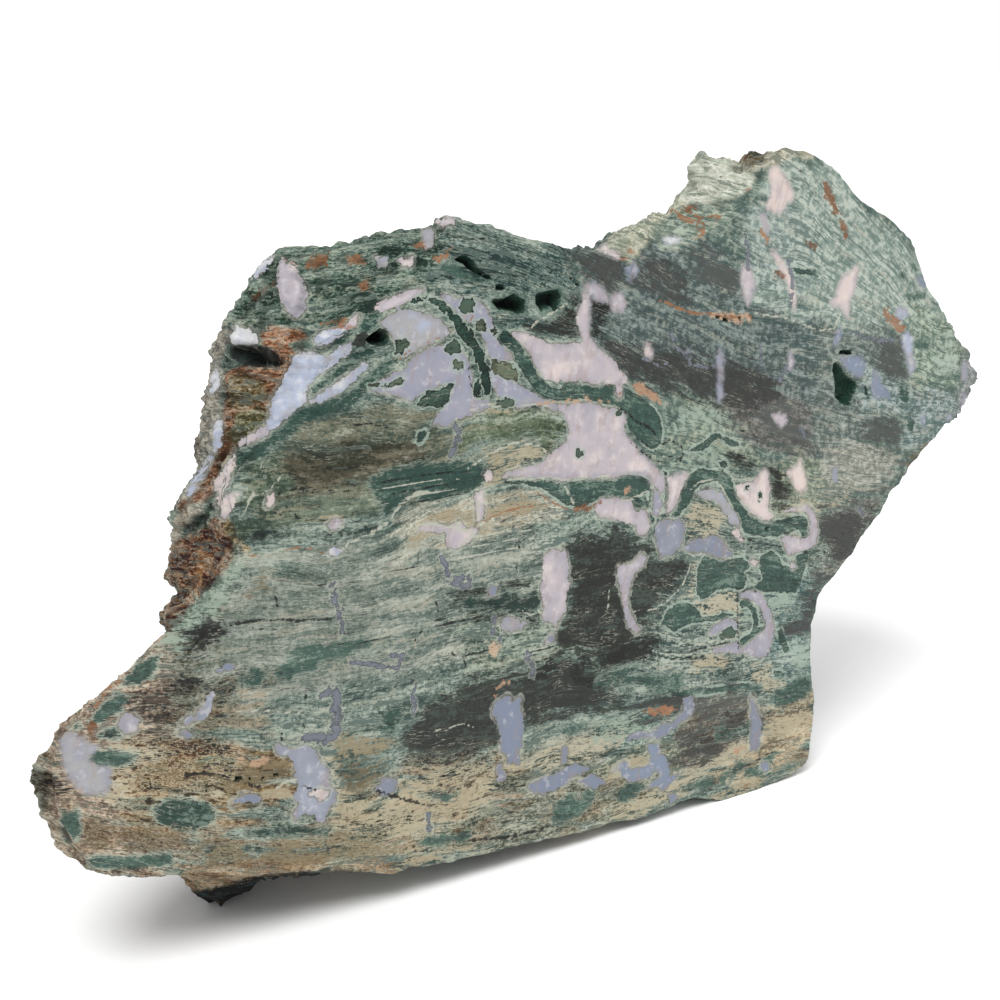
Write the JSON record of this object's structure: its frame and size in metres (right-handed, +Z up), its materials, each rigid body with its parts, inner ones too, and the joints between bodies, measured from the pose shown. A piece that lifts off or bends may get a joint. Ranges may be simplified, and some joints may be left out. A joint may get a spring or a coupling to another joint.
{
  "type": "petrified wood slab",
  "caption": "Standing lump of green petrified wood with one flat polished face, a tapered nose at the left and rough broken sides and back.",
  "frame": {"origin": "centre of the bounding box's underside, on the floor the stone stands on", "axes": "+X along the length, towards the wide end; +Y from the polished face to the natural back; +Z up"},
  "size_m": [0.1978, 0.0572, 0.1194],
  "materials": {
    "stone": "polished on the front face, rough and broken elsewhere"
  },
  "bodies": {
    "root": {"slab": "stone"}
  },
  "joints": []
}
